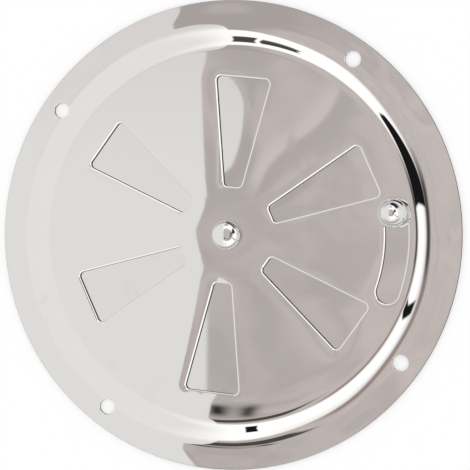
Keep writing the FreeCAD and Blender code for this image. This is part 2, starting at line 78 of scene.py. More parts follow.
# %% Sizes of the windows, the slot and the holes
WINDOW_COUNT = 6
WINDOW_STEP = 360 / WINDOW_COUNT
WINDOW_FIRST = 30.0
WINDOW_HALF = 10.05
WINDOW_INNER = 12.95
WINDOW_CORNER = 1.2
WINDOW_LAND = 0.55
SLOT_WIDTH = 6.1
SLOT_LAND = 0.53
SLOT_OUTER = PANEL_RADIUS - SLOT_LAND
SLOT_MIDDLE = SLOT_OUTER - SLOT_WIDTH / 2
SLOT_INNER = SLOT_OUTER - SLOT_WIDTH
SLOT_ANGLE = 300.0
TRAVEL = -frame["joints"][0]["range_deg"][0]
WINDOW_OUTER = SLOT_INNER - WINDOW_LAND
SCREW_COUNT = 4
SCREW_RADIUS = 2.1
SCREW_INSET = 5.35
SCREW_PLACE = RIM_RADIUS - SCREW_INSET
PIVOT_HOLE = 2.05
print("windows reach %.2f mm, slot middle %.2f mm, travel %.1f degrees" % (WINDOW_OUTER, SLOT_MIDDLE, TRAVEL))

# %% [markdown]
# ## From grids to a mesh
# Every surface here is a grid of points worked out as whole arrays. A piece is several grids that
# share their borders. Each grid becomes quads, the shared border points are merged, and the faces of
# the closed shell are turned outwards. A mirror shows the smallest error of shading, so the sheets bring
# their exact normals along. The turned pieces mark sharp corners by angle, and the rest shades smooth.

# %% Points about a centre, and quads between points
def polar(radius, degrees):
    """Points at a radius and an angle: x is radius times cosine, y is radius times sine."""
    turn = np.radians(degrees)
    return np.stack([radius * np.cos(turn), radius * np.sin(turn)], axis=-1)


def turned(points, degrees):
    """Points turned about the centre by an angle."""
    turn = math.radians(degrees)
    c, s = math.cos(turn), math.sin(turn)
    x, y = points[..., 0], points[..., 1]
    return np.stack([c * x - s * y, s * x + c * y], axis=-1)


def radius_of(points):
    """Distance of points from the centre."""
    return np.hypot(points[..., 0], points[..., 1])


def angle_of(points):
    """Angle of points about the centre, in degrees."""
    return np.degrees(np.arctan2(points[..., 1], points[..., 0]))


def off_angle(angle, first, step):
    """How far an angle is from the nearest of the angles that start at the first and repeat by the step."""
    return (angle - first + step / 2) % step - step / 2


def quads(rows, columns, first):
    """Corner numbers of the quads of a grid of points that are numbered row by row."""
    corner = first + np.arange(rows - 1)[:, None] * columns + np.arange(columns - 1)[None, :]
    return np.stack([corner, corner + 1, corner + columns + 1, corner + columns], axis=-1).reshape(-1, 4)


print("a grid of 3 by 4 points has", len(quads(3, 4, 0)), "quads")

# %% From grids to a closed piece
MERGE = 2e-7
SHARP_ANGLE = 38.0
POINT_WIDTH = 7


def joined(grids):
    """All points of some grids, row by row, and the quads between them.

    A point is three numbers, or seven with its outward normal and a mark for a sheared edge.
    """
    points, faces, first = [], [], 0
    for grid in grids:
        rows, columns, width = grid.shape
        points.append(np.pad(grid.reshape(-1, width), ((0, 0), (0, POINT_WIDTH - width))))
        faces.append(quads(rows, columns, first))
        first += rows * columns
    return np.concatenate(points), np.concatenate(faces)


def close_shell(mesh):
    """Merge the borders that grids share, turn the faces outwards, and count the edges left open."""
    shell = bmesh.new()
    shell.from_mesh(mesh)
    bmesh.ops.remove_doubles(shell, verts=shell.verts, dist=MERGE)
    bmesh.ops.dissolve_degenerate(shell, edges=shell.edges, dist=MERGE)
    bmesh.ops.recalc_face_normals(shell, faces=shell.faces)
    open_edges = sum(1 for edge in shell.edges if not edge.is_manifold)
    shell.to_mesh(mesh)
    shell.free()
    return open_edges


def shade_smooth(mesh):
    """Shade by the exact normals where the grids brought them, and by sharp angles where they didn't."""
    mesh.polygons.foreach_set("use_smooth", np.ones(len(mesh.polygons), bool))
    facing = np.zeros((len(mesh.vertices), 3))
    mesh.attributes["facing"].data.foreach_get("vector", facing.ravel())
    mesh.attributes.remove(mesh.attributes["facing"])
    if np.any(facing):
        mesh.normals_split_custom_set_from_vertices(facing.tolist())
    else:
        mesh.set_sharp_from_angle(angle=math.radians(SHARP_ANGLE))


def piece_from_grids(name, grids):
    """A closed piece from grids of points in millimetres."""
    points, faces = joined(grids)
    mesh = bpy.data.meshes.new(name)
    mesh.from_pydata((points[:, :3] * MM).tolist(), [], faces.tolist())
    mesh.attributes.new("facing", "FLOAT_VECTOR", "POINT").data.foreach_set("vector", points[:, 3:6].ravel())
    mesh.attributes.new("sheared", "FLOAT", "POINT").data.foreach_set("value", points[:, 6])
    open_edges = close_shell(mesh)
    shade_smooth(mesh)
    piece = bpy.data.objects.new(name, mesh)
    bpy.context.scene.collection.objects.link(piece)
    print("%s: %d faces, %d open edges" % (name, len(mesh.polygons), open_edges))
    return piece


# %% [markdown]
# ## Laying a grid round a hole
# A sheet with holes can't be one grid. The area round each hole is a ring of cells, whose inner
# border is the hole and whose outer border is a block cut from the sheet. Walking both borders with
# the same count gives straight spokes between them, and packing the rows towards the hole keeps the
# fine cells at the edge, where the metal turns over.

# %% Blocks, spokes and rings
def loop_knots(inside, across, outside):
    """Step numbers at the corners of a block: inner side, first end, outer side, second end."""
    return np.cumsum([0, inside, across, outside, across])


def way_out(inner, outer, share, angle):
    """Points at a share of the way between two radii. Either radius may change with the angle."""
    low, high = [radius(angle) if callable(radius) else radius for radius in (inner, outer)]
    return polar(low + share * (high - low), angle)


def block_border(knots, half, inner, outer):
    """Border of a block about angle 0 between two radii, walked anticlockwise from the inner side.

    At the corners the angle is plus, minus, minus and plus half, and the share of the way out 0, 0, 1, 1.
    """
    step = np.arange(knots[-1])
    angle = np.interp(step, knots, [half, -half, -half, half, half])
    return way_out(inner, outer, np.interp(step, knots, [0, 0, 1, 1, 0]), angle)


def spokes(hole, border, edge, rows, crowd):
    """Grid from a hole's outline, moved out by the edge, to its block's border."""
    outline, out = hole
    start = outline + edge * out
    share = (np.linspace(0, 1, rows + 1) ** crowd)[:, None, None]
    grid = start + share * (border - start)
    return np.concatenate([grid, grid[:, :1]], axis=1)


def ring(inner, outer, rows, angles):
    """Grid between two radii."""
    return way_out(inner, outer, np.linspace(0, 1, rows + 1)[:, None], angles)


print("a block with sides of 2 and 3 steps has its corners at steps", loop_knots(2, 3, 2))

# %% [markdown]
# ## Outlines of the openings
# The wedge, the slot and the round holes have sides and round corners. Such an outline is a centre that
# moves, plus a radius along a direction that turns. Giving both at a few marks and filling in between
# makes every point at once. The direction is also the way out of the hole, so each outline keeps both.

# %% Outlines of the windows, the slot and the round holes
SLOT_END_TURN = 70.0
SLOT_TIP_TURN = 5.0
ROUND_CORNER = 135.0


def wedge_centres():
    """Corner centres of a wedge window on the X axis: near and far places, and their half widths."""
    half = math.radians(WINDOW_HALF)
    near = WINDOW_INNER + WINDOW_CORNER
    far = WINDOW_OUTER - WINDOW_CORNER
    inset = WINDOW_CORNER / math.cos(half)
    return near, far, near * math.tan(half) - inset, far * math.tan(half) - inset


def wedge_outline(marks):
    """Outline of a wedge window on the X axis, with its outward directions.

    The marks are the steps where a side or a corner begins, and the middle steps of the corners. Each
    point is a corner's centre plus the corner radius along a direction. On a straight side the centre
    moves and the direction stays, and at a corner the direction turns and the centre stays.
    """
    near, far, near_y, far_y = wedge_centres()
    lean = 90 + WINDOW_HALF
    near_turn = (180 - lean) / 2
    far_turn = lean / 2
    low, high = 360 - lean, 360 + lean
    directions = [lean + near_turn, 180, 180, 180 + near_turn, low, low, low + far_turn, 360, 360,
                  360 + far_turn, high, high, high + near_turn]
    centre_x = [near] * 5 + [far] * 6 + [near] * 2
    centre_y = [near_y] * 2 + [-near_y] * 3 + [-far_y] * 3 + [far_y] * 3 + [near_y] * 2
    step = np.arange(marks[-1])
    out = polar(1.0, np.interp(step, marks, directions))
    centre = np.stack([np.interp(step, marks, centre_x), np.interp(step, marks, centre_y)], axis=-1)
    return np.stack([centre + WINDOW_CORNER * out, out])


def outline_marks(knots, corner_steps):
    """Step numbers where each side of a loop leaves and reaches its corners."""
    sides = zip(knots[:-1], knots[1:])
    ends = [[start, start + corner_steps, stop - corner_steps] for start, stop in sides]
    return np.concatenate([*ends, [knots[-1]]])


def slot_outline(knots, corner_steps, reach):
    """Outline of the curved slot about angle 0: two arcs about the plate's centre and two half circles.

    On an arc the angle about the plate's centre moves, and on a half circle the direction turns.
    """
    step = np.arange(knots[-1])
    marks = outline_marks(knots, corner_steps)
    half_turn = np.array([180, 180 + SLOT_END_TURN, 270 - SLOT_TIP_TURN, 270 + SLOT_TIP_TURN,
                          360 - SLOT_END_TURN, 360])
    directions = [180 - SLOT_END_TURN, 180, *half_turn, *(half_turn[:-1] + 180)]
    along = np.interp(step, marks, [reach] * 2 + [-reach] * 6 + [reach] * 5)
    out = polar(1.0, along + np.interp(step, marks, directions))
    return np.stack([polar(SLOT_MIDDLE, along) + SLOT_WIDTH / 2 * out, out])


def round_outline(knots, place, radius):
    """Outline of a round hole on the X axis, with a quarter turn for each side of its block."""
    step = np.arange(knots[-1])
    out = polar(1.0, np.interp(step, knots, ROUND_CORNER + 90 * np.arange(len(knots))))
    return np.stack([np.array([place, 0.0]) + radius * out, out])


print("a window's corner centres are %.2f and %.2f mm out" % wedge_centres()[:2])

# %% [markdown]
# ## Rolled edges
# A punch pulls the sheet down before it cuts, so the front edge of every opening is rolled over and
# the back edge is nearly sharp. In a mirror that small roll is a bright hairline round each window.
# The polishing mop flattens the roll into a narrow bevel, which widens the hairline. Past the roll the
# metal was sheared, so it is matt, and a mark on its points tells the material so. The material also
# paints that sheared wall near-black, as painted shade for the dark gap behind each edge. The edge is
# a profile carried round the outline: the roll with its bevel, the wall, and a tiny nick behind.

# %% The edge's section
ROLL_TURNS = np.radians([0, 12, 26, 29, 32, 46, 62, 78, 90])
ROLL_BEND = 0.45
MOPPED_STEPS = (2, 3)
MOPPED_WIDTH = 0.34


def roll_section():
    """Turn, share of the width still to go, and share of the width gone down, along a rolled edge.

    Each step is as long as its bend, and the two steps that the polishing mop has flattened are longer.
    """
    lengths = ROLL_BEND * np.diff(ROLL_TURNS)
    lengths[list(MOPPED_STEPS)] += MOPPED_WIDTH
    middle = (ROLL_TURNS[:-1] + ROLL_TURNS[1:]) / 2
    gone = np.concatenate([[0], np.cumsum(lengths * np.cos(middle))])
    down = np.concatenate([[0], np.cumsum(lengths * np.sin(middle))])
    return ROLL_TURNS[:, None], 1 - gone[:, None] / gone[-1], down[:, None] / gone[-1]


print("a rolled edge drops %.2f of its width" % roll_section()[2][-1, 0])

# %% Edge strips and punched sheets
NICK = 0.06
NICK_STEPS = 3
SLOPE_STEP = 0.01


def edge_strip(hole, roll, shear_start, front, back):
    """Rolled front edge, wall and back nick, carried round a hole's outline.

    The normal turns from up to across over the roll, stays on the wall, and turns down over the nick.
    """
    outline, out = hole
    turn, left, down = roll_section()
    lip = front(outline + roll * out)
    bend = np.radians(np.linspace(0, 90, NICK_STEPS))[:, None]
    foot = back(outline + NICK * out)
    offset = np.concatenate([roll * left, NICK * (1 - np.cos(bend))])
    height = np.concatenate([lip - roll * down, foot + NICK * (1 - np.sin(bend))])
    place = outline + offset[..., None] * out
    across = np.concatenate([np.sin(turn), np.cos(bend)])[..., None] * -out
    rise = np.concatenate([np.cos(turn), -np.sin(bend)]) + 0 * height
    # The sheared mark also carries painted shade: the material colours these points near-black.
    sheared = np.concatenate([turn > math.radians(shear_start), np.ones_like(bend)]) + 0 * height
    strip = np.concatenate([place, height[..., None], across, rise[..., None], sheared[..., None]], axis=-1)
    return np.concatenate([strip, strip[:, :1]], axis=1)


def lifted(grid, height, side):
    """A flat grid raised to a height that depends on place, with the normal from the height's slopes."""
    east, north = np.array([SLOPE_STEP, 0.0]), np.array([0.0, SLOPE_STEP])
    slope_x = (height(grid + east) - height(grid - east)) / (2 * SLOPE_STEP)
    slope_y = (height(grid + north) - height(grid - north)) / (2 * SLOPE_STEP)
    normal = side * np.stack([-slope_x, -slope_y, np.ones_like(slope_x)], axis=-1)
    normal /= np.linalg.norm(normal, axis=-1, keepdims=True)
    return np.concatenate([grid, height(grid)[..., None], normal, np.zeros_like(normal[..., :1])], axis=-1)


def sheet_grids(layout, loops, front, back):
    """All grids of a punched sheet: its layout on both skins, and a strip along each loop.

    The layout is a function that gives the flat grids for a skin, because the front stops at the rolls
    and the back stops at the nicks.
    """
    made = [lifted(grid, front, 1) for grid in layout(None)]
    made += [lifted(grid, back, -1) for grid in layout(NICK)]
    made += [edge_strip(*loop, front, back) for loop in loops]
    return made


# %% [markdown]
# ## The face plate
# The real plate is one pressing: a flat panel, two tangent bends and a flat flange. The profile is a
# function of the radius, and the sheet's small faults are added to it: it sinks towards each punched
# edge and under the rivet, it sags on one side, and it has slow waves of less than a thousandth of a
# millimetre. Those faults bend the reflections, so they belong in the shape and not in a painted
# texture. Some are placed as the camera sees them, turned from the plate by the picture's own turn.

# %% Distance from the openings, and the pull of the press
PHOTO_TURN = 54.05
EASY_SIDE = 0.75
EASY_REACH = 2.5
EASY_FADE = 14.0


def smooth_step(value, start, stop):
    """A rise from 0 to 1 with level ends."""
    share = np.clip((value - start) / (stop - start), 0, 1)
    return share * share * (3 - 2 * share)


def window_gap(points):
    """Distance from the nearest wedge window: from the four sides of its corner centres, less the corner."""
    local = polar(radius_of(points), off_angle(angle_of(points), WINDOW_FIRST, WINDOW_STEP))
    near, far, near_y, far_y = wedge_centres()
    corners = np.array([[near, -near_y], [far, -far_y], [far, far_y], [near, near_y]])
    gaps = []
    for start, stop in zip(corners, np.roll(corners, -1, axis=0)):
        side = stop - start
        share = np.clip(((local - start) @ side) / (side @ side), 0, 1)
        gaps.append(np.linalg.norm(local - start - share[..., None] * side, axis=-1))
    return np.min(gaps, axis=0) - WINDOW_CORNER


def slot_gap(points):
    """Distance from the slot: from the nearest point of its middle line, less half its width."""
    along = np.clip(off_angle(angle_of(points), SLOT_ANGLE, 360), -TRAVEL / 2, TRAVEL / 2)
    return np.linalg.norm(points - polar(SLOT_MIDDLE, SLOT_ANGLE + along), axis=-1) - SLOT_WIDTH / 2


def press_pull(points):
    """Share of the sink at a window: full on the side where the press pulled, and less on the other."""
    angle = angle_of(points)
    folded = off_angle(angle, WINDOW_FIRST, WINDOW_STEP)
    middle = np.radians(angle - folded + PHOTO_TURN)
    aside = -radius_of(points) * np.sin(np.radians(folded)) * np.sin(middle)
    near = smooth_step(WINDOW_STEP / 2 - np.abs(folded), 0.0, EASY_FADE)
    return 1 - EASY_SIDE * (0.5 + near * (smooth_step(aside, -EASY_REACH, EASY_REACH) - 0.5))


print("the rivet's centre is %.2f mm from the nearest window" % window_gap(np.zeros(2)))

# %% Faults of the pressed sheet
WINDOW_ROLL = 0.45
SLOT_ROLL = 0.42
EDGE_SINK = 0.022
EDGE_REACH = 1.3
SLOT_SINK = 0.02
SLOT_REACH = 1.0
RIVET_SINK = 0.03
RIVET_REACH = 8.0
WAVE = 0.0005
WAVES = ((1.0, 0.17, 0.09, 0.6), (1.0, -0.13, 0.11, 2.1), (0.7, 0.05, 0.23, 0.0))
SAG = 0.0041
SAG_START = 43.0
SAG_END = 54.0
SAG_ANGLE = 220.0
SAG_SPREAD = 36.0
RIPPLE = 0.03
RIPPLE_COUNT = 10
RIPPLE_START = 52.5
RIPPLE_FULL = 56.5
RIPPLE_FADE = 58.5
RIPPLE_EASE = 0.7


def sine_waves(x, y, terms):
    """Sum of sine waves, each with a share, a turn along x, a turn along y and a start."""
    return sum(share * np.sin(along * x + up * y + start) for share, along, up, start in terms)


def panel_sag(points):
    """Depth of the sag: the square of the way past its start, fading over the step and to both sides."""
    radius = radius_of(points)
    depth = SAG * np.clip(radius - SAG_START, 0, None) ** 2 * (1 - smooth_step(radius, PANEL_RADIUS, SAG_END))
    return depth * np.exp(-(off_angle(angle_of(points), SAG_ANGLE, 360) / SAG_SPREAD) ** 2)


def flange_ripple(points):
    """Ripples round the flange: a cosine of the angle, which rises past the step and eases at the rim."""
    radius = radius_of(points)
    ripple = RIPPLE * np.cos(np.radians(RIPPLE_COUNT * (angle_of(points) + PHOTO_TURN - 180)))
    ease = 1 - RIPPLE_EASE * smooth_step(radius, RIPPLE_FADE, RIM_RADIUS)
    return ripple * smooth_step(radius, RIPPLE_START, RIPPLE_FULL) * ease


def face_faults(points):
    """How far the polished sheet strays from its drawing: waves and ripples, less every sink."""
    window = np.exp((WINDOW_ROLL - window_gap(points)) / EDGE_REACH) * press_pull(points)
    slot = np.exp((SLOT_ROLL - slot_gap(points)) / SLOT_REACH)
    dimple = RIVET_SINK * np.exp(-(radius_of(points) / RIVET_REACH) ** 2)
    sinks = EDGE_SINK * window + SLOT_SINK * slot + dimple + panel_sag(points)
    return WAVE * sine_waves(points[..., 0], points[..., 1], WAVES) + flange_ripple(points) - sinks


print("the sheet sinks %.3f mm at the rivet" % -face_faults(np.zeros(2)))

# %% Heights of the two skins
def profile(radius, panel, shoulder, foot, flange):
    """Height of a skin: flat panel, an arc that turns down, an arc that turns back and flat flange."""
    meet = PANEL_RADIUS + shoulder * math.sin(STEP_TURN)
    down = panel - shoulder + np.sqrt(shoulder ** 2 - np.clip(radius - PANEL_RADIUS, 0, shoulder) ** 2)
    up = flange + foot - np.sqrt(foot ** 2 - np.clip(FOOT_RADIUS - radius, 0, foot) ** 2)
    return np.where(radius < meet, down, up)


def face_front(points):
    """Front skin of the plate."""
    return profile(radius_of(points), PANEL_FACE, SHOULDER_BEND, FOOT_BEND, SHEET) + face_faults(points)


def face_back(points):
    """Back skin of the plate, one sheet below the front and with its own bend radii."""
    return profile(radius_of(points), PANEL_BACK, SHOULDER_BEND - SHEET, FOOT_BEND + SHEET, 0.0)


print("the panel's back is %.2f mm above the wall" % face_back(np.zeros(2)))

# %% [markdown]
# ## Laying out the plate
# The plate is cut into a hub, six window blocks, a collar that holds the slot, the step and a flange
# with four screw blocks. Neighbours have the same points on their shared border, so that merging closes
# the sheet. The window blocks end on a wavy circle, which bows out past the windows and in at the slot.

# %% Outlines and layout of the plate
PIVOT_ROLL = 0.1
SCREW_ROLL = 0.15
RIM_ROLL = 0.05
RIM_BAND = 0.25
RIM_ROWS = 2
RING_ANGLES = np.arange(0, 361, 1.0)
HUB_RADIUS = 11.3
HUB_STEPS = 24
HUB_ROWS = 10
SIDE_STEPS = 36
WINDOW_MARKS = (0, 7, 17, 24, 30, 72, 76, 80, 100, 104, 108, 150, 156)
WINDOW_ROWS = 12
WINDOW_RING = 43.2
SLOT_RING = 42.0
COLLAR_SLOPE = (11.2, 15.5)
CROWD = 2.2
EASY_CROWD = 1.6
HOLE_ROWS = 9
SLOT_BLOCK = 21.0
SLOT_ROWS = 16
SLOT_CORNER = 7
SCREW_BLOCK = 6.0
SCREW_ROWS = 16
STEP_END = 54.6
STEP_ROWS = 26
FLANGE_END = RIM_RADIUS - RIM_ROLL - RIM_BAND

window_knots = loop_knots(HUB_STEPS, SIDE_STEPS, int(WINDOW_STEP))
slot_knots = loop_knots(int(2 * SLOT_BLOCK), SLOT_ROWS, int(2 * SLOT_BLOCK))
screw_knots = loop_knots(int(2 * SCREW_BLOCK), SCREW_ROWS, int(2 * SCREW_BLOCK))
wedge = wedge_outline(WINDOW_MARKS)
slot = slot_outline(slot_knots, SLOT_CORNER, TRAVEL / 2)
screw = round_outline(screw_knots, SCREW_PLACE, SCREW_RADIUS)
window_angles = WINDOW_FIRST + WINDOW_STEP * np.arange(WINDOW_COUNT)
screw_angles = 360 / SCREW_COUNT * np.arange(SCREW_COUNT)
hub_angles = np.linspace(0, 360, WINDOW_COUNT * HUB_STEPS + 1)
outline_counts = tuple(len(outline) for outline, out in (wedge, slot, screw))
print("outline points: window %d, slot %d, screw hole %d" % outline_counts)


def collar(angle):
    """Radius between the windows' blocks and the slot: wide past the windows, narrow inside the slot."""
    off = np.abs(off_angle(np.asarray(angle, float), WINDOW_FIRST, WINDOW_STEP))
    return SLOT_RING + (WINDOW_RING - SLOT_RING) * (1 - smooth_step(off, *COLLAR_SLOPE))


def face_layout(edge):
    """Flat grids of the plate: hub, window blocks, collar with the slot, step, flange and rim."""
    made = [ring(PIVOT_HOLE + (edge or PIVOT_ROLL), HUB_RADIUS, HUB_ROWS, hub_angles)]
    for angle in window_angles:
        border = block_border(window_knots, WINDOW_STEP / 2, HUB_RADIUS, lambda a, mid=angle: collar(a + mid))
        made.append(turned(spokes(wedge, border, edge or WINDOW_ROLL, WINDOW_ROWS, CROWD), angle))
    border = block_border(slot_knots, SLOT_BLOCK, lambda a: collar(a + SLOT_ANGLE), PANEL_RADIUS)
    made.append(turned(spokes(slot, border, edge or SLOT_ROLL, HOLE_ROWS, EASY_CROWD), SLOT_ANGLE))
    free = np.arange(SLOT_ANGLE + SLOT_BLOCK, SLOT_ANGLE - SLOT_BLOCK + 361, 1.0)
    made.append(ring(collar, PANEL_RADIUS, SLOT_ROWS, free))
    made.append(ring(PANEL_RADIUS, STEP_END, STEP_ROWS, RING_ANGLES))
    border = block_border(screw_knots, SCREW_BLOCK, STEP_END, FLANGE_END)
    block = spokes(screw, border, edge or SCREW_ROLL, HOLE_ROWS, EASY_CROWD)
    for angle in screw_angles:
        made.append(turned(block, angle))
        free = np.arange(angle + SCREW_BLOCK, angle + 360 / SCREW_COUNT - SCREW_BLOCK + 1, 1.0)
        made.append(ring(STEP_END, FLANGE_END, SCREW_ROWS, free))
    made.append(ring(FLANGE_END, RIM_RADIUS - (edge or RIM_ROLL), RIM_ROWS, RING_ANGLES))
    return made


# %% Make the face plate
# Turns of the roll past which an edge is marked sheared and painted near-black as shade. Windows and slot
# start late, for a thin painted dark line, and the rim starts almost at once, for a painted dark line round
# the rim.
SHEAR = 60.0
CLEAN_SHEAR = 80.0
RIM_SHEAR = 5.0
hub_loop = polar(1.0, hub_angles[:-1])
rim_loop = polar(1.0, RING_ANGLES[:-1])
face_loops = [(turned(wedge, angle), WINDOW_ROLL, CLEAN_SHEAR) for angle in window_angles]
face_loops += [(turned(screw, angle), SCREW_ROLL, SHEAR) for angle in screw_angles]
face_loops.append((turned(slot, SLOT_ANGLE), SLOT_ROLL, CLEAN_SHEAR))
face_loops.append((np.stack([PIVOT_HOLE * hub_loop, hub_loop]), PIVOT_ROLL, SHEAR))
face_loops.append((np.stack([RIM_RADIUS * rim_loop, -rim_loop]), RIM_ROLL, RIM_SHEAR))
cover_face = piece_from_grids("cover_face", sheet_grids(face_layout, face_loops, face_front, face_back))

# %% [markdown]
# ## The shutter disc
# The disc is a flat blank with the same six windows. It is thinner than the plate and never quite
# flat: in use the knob pulls it a little out of true, so the light falls on it at its own angle inside
# each window. It is laid out like the plate, with one small hole for the knob's spigot.

# %% Faults and skins of the disc
disc_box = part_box("shutter_disc")
DISC_RADIUS = disc_box[1].x / MM
DISC_FACE = disc_box[1].z / MM
DISC_BACK = disc_box[0].z / MM
DISC_SINK = 0.095
DISC_TWIST = 0.0097
TWIST_START = (13.0, 18.0)
TWIST_RISE = (2.0, 34.0)
TWIST_FALL = (34.0, 46.0)
TWIST_EASE = 0.7
TWIST_REACH = 15.0
BUCKLE = 0.007
BUCKLE_WAVES = ((1.0, 0.11, 0.42, 1.1), (1.0, 0.07, -0.34, 0.4))
BUCKLE_RISE = (9.0, 18.0)
BUCKLE_FADE = (37.0, 43.0)
CREASE = 0.036
CREASE_REACH = 4.0
CREASE_PLACE = (19.0, 14.6)
CREASE_WAY = (0.83, 0.55)
CREASE_RISE = (6.0, 12.0)
CREASE_UPPER = (0.0, 8.0)


def disc_faults(points):
    """Twist, waves and one soft crease of the thin disc, kept below flat so that it clears the plate."""
    across = turned(points, PHOTO_TURN)
    x, y = across[..., 0], across[..., 1]
    inside = 1 - smooth_step(np.hypot(x, y), *BUCKLE_FADE)
    twist = DISC_TWIST * smooth_step(y, *TWIST_START) * smooth_step(y, *TWIST_RISE)
    twist = twist * (1 - TWIST_EASE * smooth_step(y, *TWIST_FALL)) * x * np.exp(-(x / TWIST_REACH) ** 2)
    buckle = BUCKLE * sine_waves(x, y, BUCKLE_WAVES) * smooth_step(x, *BUCKLE_RISE) * inside
    beside = CREASE_WAY[0] * (y - CREASE_PLACE[1]) - CREASE_WAY[1] * (x - CREASE_PLACE[0])
    crease = -CREASE * np.tanh(beside / CREASE_REACH) * smooth_step(x, *CREASE_RISE)
    crease = crease * inside * smooth_step(y, *CREASE_UPPER)
    return twist + buckle + crease - DISC_SINK


def disc_front(points):
    """Front of the disc."""
    return DISC_FACE + disc_faults(points)


def disc_back(points):
    """Back of the disc."""
    return np.full(points.shape[:-1], DISC_BACK)


print("the disc is %.2f mm thick and its middle lies %.3f mm low" % (DISC_FACE - DISC_BACK, DISC_SINK))

# %% Layout of the disc
DISC_TURN = TRAVEL
DISC_ROLL = 0.12
DISC_RING = 43.4
DISC_HUB_ROWS = 6
SPIGOT_HOLE = 1.6
SPIGOT_RING = 48.2
SPIGOT_BLOCK = 4.0
SPIGOT_ROWS = 12
SPIGOT_HOLE_ROWS = 5
SPIGOT_CROWD = 1.3
spigot_angle = SLOT_ANGLE - TRAVEL / 2
spigot_block = round(spigot_angle)
spigot_knots = loop_knots(int(2 * SPIGOT_BLOCK), SPIGOT_ROWS, int(2 * SPIGOT_BLOCK))
spigot = turned(round_outline(spigot_knots, SLOT_MIDDLE, SPIGOT_HOLE), spigot_angle - spigot_block)
print("the spigot's hole is at %.1f degrees on the unturned disc" % spigot_angle)


def disc_layout(edge):
    """Flat grids of the disc: hub, window blocks, ring with the spigot hole, and rim."""
    made = [ring(PIVOT_HOLE + (edge or PIVOT_ROLL), HUB_RADIUS, DISC_HUB_ROWS, hub_angles)]
    border = block_border(window_knots, WINDOW_STEP / 2, HUB_RADIUS, DISC_RING)
    block = spokes(wedge, border, edge or DISC_ROLL, WINDOW_ROWS, EASY_CROWD)
    made += [turned(block, angle) for angle in window_angles]
    border = block_border(spigot_knots, SPIGOT_BLOCK, DISC_RING, SPIGOT_RING)
    block = spokes(spigot, border, edge or DISC_ROLL, SPIGOT_HOLE_ROWS, SPIGOT_CROWD)
    made.append(turned(block, spigot_block))
    free = np.arange(spigot_block + SPIGOT_BLOCK, spigot_block - SPIGOT_BLOCK + 361, 1.0)
    made.append(ring(DISC_RING, SPIGOT_RING, SPIGOT_ROWS, free))
    made.append(ring(SPIGOT_RING, DISC_RADIUS - (edge or DISC_ROLL), RIM_ROWS, RING_ANGLES))
    return [turned(grid, DISC_TURN) for grid in made]


# %% Make the shutter disc
disc_loops = [(turned(wedge, angle), DISC_ROLL) for angle in window_angles]
disc_loops.append((turned(spigot, spigot_block), DISC_ROLL))
disc_loops.append((np.stack([PIVOT_HOLE * hub_loop, hub_loop]), PIVOT_ROLL))
disc_loops.append((np.stack([DISC_RADIUS * rim_loop, -rim_loop]), DISC_ROLL))
disc_loops = [(turned(hole, DISC_TURN), roll, SHEAR) for hole, roll in disc_loops]
disc_sheet = piece_from_grids("disc_sheet", sheet_grids(disc_layout, disc_loops, disc_front, disc_back))

# %% [markdown]
# ## Turned pieces
# The rivet and the knob are turned on a lathe, so each is a profile carried round an axis. The profile
# is a list of corners and arcs in radius and height. The rivet has a low crown with a rounded edge, and
# the knob is a ball on a short collar that stands on the disc. Both have a flat peened tail.

# %% Profiles round an axis
TURNED_STEPS = 120
CORNER_BREAK = 0.06
TAIL_BEVEL = 0.2
TAIL_MIDDLE = 0.35


def arc_points(centre, radius, start, stop, count):
    """Points along an arc in radius and height."""
    return np.array(centre) + polar(radius, np.linspace(start, stop, count))


def revolve(section, middle):
    """A section of radius and height carried once round an upright axis through the middle."""
    around = polar(1.0, np.linspace(0, 360, TURNED_STEPS + 1))
    place = section[:, None, :1] * around[None] + np.array(middle)
    height = np.repeat(section[:, None, 1:], TURNED_STEPS + 1, axis=1)
    return np.concatenate([place, height], axis=-1)


def tail_section(shank, seat, ledge, tail, bottom):
    """Shank below the seat, ledge, bevelled tail and flat bottom, down to the axis."""
    return np.array([[shank, seat], [shank, ledge], [tail - CORNER_BREAK, ledge],
                     [tail, ledge - CORNER_BREAK], [tail, bottom + TAIL_BEVEL],
                     [tail - TAIL_BEVEL, bottom], [TAIL_MIDDLE * tail, bottom], [0.0, bottom]])


# %% Make the rivet
rivet_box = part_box("centre_rivet")
RIVET_RADIUS = rivet_box[1].x / MM
RIVET_TOP = rivet_box[1].z / MM
RIVET_BOTTOM = rivet_box[0].z / MM
CROWN = 6.8
CROWN_ROWS = 22
CROWN_EDGE = 1.7
EDGE_ROWS = 18
RIVET_SHANK = 2.0
RIVET_TAIL = 3.2
RIVET_TAIL_HEIGHT = 0.4
crown_middle = RIVET_TOP - CROWN
edge_reach = RIVET_RADIUS - CROWN_EDGE
edge_level = crown_middle + math.sqrt((CROWN - CROWN_EDGE) ** 2 - edge_reach ** 2)
crown_lean = math.degrees(math.atan2(edge_level - crown_middle, edge_reach))
rivet_section = np.concatenate([
    arc_points((0, crown_middle), CROWN, 90, crown_lean, CROWN_ROWS),
    arc_points((edge_reach, edge_level), CROWN_EDGE, crown_lean, 0, EDGE_ROWS)[1:],
    [[RIVET_RADIUS, PANEL_FACE + CORNER_BREAK], [RIVET_RADIUS - CORNER_BREAK, PANEL_FACE]],
    tail_section(RIVET_SHANK, PANEL_FACE, RIVET_BOTTOM + RIVET_TAIL_HEIGHT, RIVET_TAIL, RIVET_BOTTOM)])
rivet_piece = piece_from_grids("rivet_head", [revolve(rivet_section, (0.0, 0.0))])

